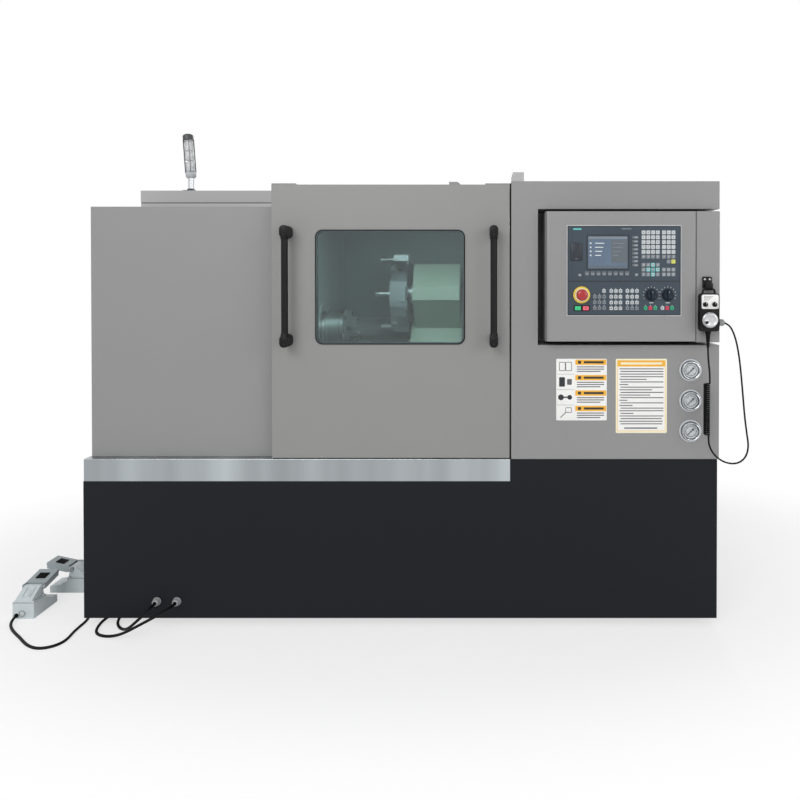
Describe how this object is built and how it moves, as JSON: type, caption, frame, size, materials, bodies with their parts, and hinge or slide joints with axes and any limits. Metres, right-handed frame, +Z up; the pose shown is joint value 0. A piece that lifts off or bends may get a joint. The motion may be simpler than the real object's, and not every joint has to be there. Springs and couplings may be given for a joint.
{
  "type": "cnc turning lathe",
  "caption": "Slant-bed CNC turning lathe in a sheet-metal enclosure, with a sliding windowed door, a swinging control box, a hand-wheel pendant on a curly cord and foot pedals.",
  "frame": {"origin": "on the floor, under the middle of the base, at the middle levelling foot", "axes": "+X to the right along the machine and its spindle axis, -Y towards the operator, +Z up"},
  "size_m": [2.8304, 1.7062, 1.9667],
  "materials": {
    "base_black": "satin powder coat",
    "cover_grey": "fine satin paint, warm grey",
    "band_steel": "brushed lengthwise",
    "inner_steel": "plain sheet, a little dull",
    "cast_paint": "painted casting",
    "machined": "ground and turned steel",
    "chuck_steel": "turned and ground",
    "belt_rubber": "matt",
    "motor_paint": "black painted frame",
    "pulley_metal": "turned",
    "window_glass": "clear safety glass",
    "seal_rubber": "extruded profile",
    "handle_black": "moulded, satin",
    "panel_grey": "dark slate film",
    "estop_red": "moulded",
    "start_green": "moulded",
    "stop_red": "moulded",
    "knob_black": "moulded",
    "pendant_black": "moulded, fine texture",
    "gauge_steel": "polished bezel, white dial",
    "gland_grey": "moulded",
    "lamp_clear": "clear lens",
    "lamp_stem": "satin",
    "cord_black": "extruded sheath",
    "foot_zinc": "black oxide",
    "pedal_grey": "light grey hammered paint"
  },
  "bodies": {
    "machine": {"base_cabinet": "base_black", "levelling_feet": "foot_zinc", "gutter_band": "band_steel", "headstock_cover": "cover_grey", "right_cabinet": "cover_grey", "hinge_post": "cover_grey", "chamber_roof": "cover_grey", "rear_sides": "cover_grey", "rear_panel": "cover_grey", "rear_lid": "cover_grey", "tower_foot": "lamp_stem", "tower_lens": "lamp_clear", "pressure_gauges": "gauge_steel", "cable_glands": "gland_grey", "pendant_holder": "band_steel", "pendant_body": "pendant_black", "pendant_lead": "cord_black", "pendant_coil": "cord_black", "pendant_tail": "cord_black", "pedal_cord_front": "cord_black", "pedal_cord_rear": "cord_black", "pedal_housings": "pedal_grey", "slant_bed": "cast_paint", "headstock": "cast_paint", "spindle_motor": "motor_paint", "drive_belt": "belt_rubber", "spindle_bulkhead": "inner_steel", "chip_pan": "inner_steel", "chamber_back": "inner_steel", "chamber_right_wall": "inner_steel"},
    "door": {"door_panel": "cover_grey", "window_glass": "window_glass", "window_seal": "seal_rubber", "door_handles": "handle_black"},
    "control_unit": {"control_box": "cover_grey", "display_panel": "panel_grey", "machine_panel": "panel_grey"},
    "estop": {"estop_button": "estop_red"},
    "start": {"start_button": "start_green"},
    "stop": {"stop_button": "stop_red"},
    "feed_override": {"feed_knob": "knob_black"},
    "spindle_override": {"spindle_knob": "knob_black"},
    "hand_wheel": {"pendant_wheel": "pulley_metal"},
    "axis_selector": {"pendant_axis_knob": "knob_black"},
    "step_selector": {"pendant_step_knob": "knob_black"},
    "front_treadle": {"pedal_front_treadle": "pedal_grey"},
    "rear_treadle": {"pedal_rear_treadle": "pedal_grey"},
    "back_door": {"rear_door": "cover_grey"},
    "spindle_unit": {"spindle": "machined", "chuck_body": "chuck_steel"},
    "jaw_1": {"chuck_jaw_1": "chuck_steel"},
    "jaw_2": {"chuck_jaw_2": "chuck_steel"},
    "jaw_3": {"chuck_jaw_3": "chuck_steel"},
    "motor_rotor": {"motor_pulley": "pulley_metal"},
    "feed_screw": {"z_ballscrew": "machined"},
    "carriage": {"saddle": "cast_paint"},
    "cross_unit": {"cross_slide": "cast_paint"},
    "turret": {"turret_disc": "machined"},
    "tailstock": {"tailstock_body": "cast_paint"},
    "quill": {"tailstock_quill": "machined"}
  },
  "joints": [
    {"name": "door_slide", "type": "slide", "parent": "machine", "child": "door", "axis": [-1, 0, 0], "range_m": [0, 0.68]},
    {"name": "control_box_hinge", "type": "hinge", "parent": "machine", "child": "control_unit", "pos_m": [1.106, -0.79, 1.33], "axis": [0, 0, 1], "range_deg": [0, 75]},
    {"name": "estop_push", "type": "slide", "parent": "control_unit", "child": "estop", "axis": [0, 1, 0], "range_m": [0, 0.006]},
    {"name": "start_push", "type": "slide", "parent": "control_unit", "child": "start", "axis": [0, 1, 0], "range_m": [0, 0.003], "stiffness_N_per_m": 500, "springref_m": -0.002},
    {"name": "stop_push", "type": "slide", "parent": "control_unit", "child": "stop", "axis": [0, 1, 0], "range_m": [0, 0.003], "stiffness_N_per_m": 500, "springref_m": -0.002},
    {"name": "feed_override_turn", "type": "hinge", "parent": "control_unit", "child": "feed_override", "pos_m": [0.9385, -0.794, 1.2625], "axis": [0, -1, 0], "range_deg": [-150, 150]},
    {"name": "spindle_override_turn", "type": "hinge", "parent": "control_unit", "child": "spindle_override", "pos_m": [0.9995, -0.794, 1.2625], "axis": [0, -1, 0], "range_deg": [-150, 150]},
    {"name": "hand_wheel_turn", "type": "hinge", "parent": "machine", "child": "hand_wheel", "pos_m": [1.146, -0.825, 1.171], "axis": [0, -1, 0], "continuous": true},
    {"name": "axis_selector_turn", "type": "hinge", "parent": "machine", "child": "axis_selector", "pos_m": [1.129, -0.825, 1.228], "axis": [0, -1, 0], "range_deg": [-60, 60]},
    {"name": "step_selector_turn", "type": "hinge", "parent": "machine", "child": "step_selector", "pos_m": [1.163, -0.825, 1.228], "axis": [0, -1, 0], "range_deg": [-60, 60]},
    {"name": "front_treadle_press", "type": "hinge", "parent": "machine", "child": "front_treadle", "pos_m": [-1.4745, -0.617, 0.1], "axis": [-1, 0, 0], "range_deg": [0, 12], "stiffness_Nm_per_rad": 12, "springref_deg": -6.88},
    {"name": "rear_treadle_press", "type": "hinge", "parent": "machine", "child": "rear_treadle", "pos_m": [-1.424, -0.4135, 0.1], "axis": [0, -1, 0], "range_deg": [0, 12], "stiffness_Nm_per_rad": 12, "springref_deg": -6.88},
    {"name": "rear_door_hinge", "type": "hinge", "parent": "machine", "child": "back_door", "pos_m": [1.066, 0.762, 1.16], "axis": [0, 0, -1], "range_deg": [0, 105]},
    {"name": "chuck_spin", "type": "hinge", "parent": "machine", "child": "spindle_unit", "pos_m": [-0.4, -0.15, 1.08], "axis": [1, 0, 0], "continuous": true},
    {"name": "jaw_1_slide", "type": "slide", "parent": "spindle_unit", "child": "jaw_1", "axis": [0, 0, 1], "range_m": [-0.0035, 0.0035]},
    {"name": "jaw_2_slide", "type": "slide", "parent": "spindle_unit", "child": "jaw_2", "axis": [0, -0.866, -0.5], "range_m": [-0.0035, 0.0035]},
    {"name": "jaw_3_slide", "type": "slide", "parent": "spindle_unit", "child": "jaw_3", "axis": [0, 0.866, -0.5], "range_m": [-0.0035, 0.0035]},
    {"name": "motor_spin", "type": "hinge", "parent": "machine", "child": "motor_rotor", "pos_m": [-1.072, 0.45, 1], "axis": [1, 0, 0], "continuous": true},
    {"name": "carriage_slide", "type": "slide", "parent": "machine", "child": "carriage", "axis": [1, 0, 0], "range_m": [-0.06, 0.28]},
    {"name": "feed_screw_spin", "type": "hinge", "parent": "machine", "child": "feed_screw", "pos_m": [0.22, -0.00151, 0.94565], "axis": [1, 0, 0], "continuous": true},
    {"name": "cross_slide", "type": "slide", "parent": "carriage", "child": "cross_unit", "axis": [0, 0.7071, 0.7071], "range_m": [-0.04, 0.06]},
    {"name": "turret_index", "type": "hinge", "parent": "cross_unit", "child": "turret", "pos_m": [-0.085, 0.01971, 1.24971], "axis": [1, 0, 0], "continuous": true},
    {"name": "tailstock_slide", "type": "slide", "parent": "machine", "child": "tailstock", "axis": [1, 0, 0], "range_m": [-0.25, 0.06]},
    {"name": "quill_slide", "type": "slide", "parent": "tailstock", "child": "quill", "axis": [-1, 0, 0], "range_m": [0, 0.1]}
  ],
  "couplings": [
    {"joint": "jaw_2_slide", "follows": "jaw_1_slide", "ratio": 1},
    {"joint": "jaw_3_slide", "follows": "jaw_1_slide", "ratio": 1},
    {"joint": "motor_spin", "follows": "chuck_spin", "ratio": 1.5833},
    {"joint": "feed_screw_spin", "follows": "carriage_slide", "rad_per_m": 628.32}
  ]
}
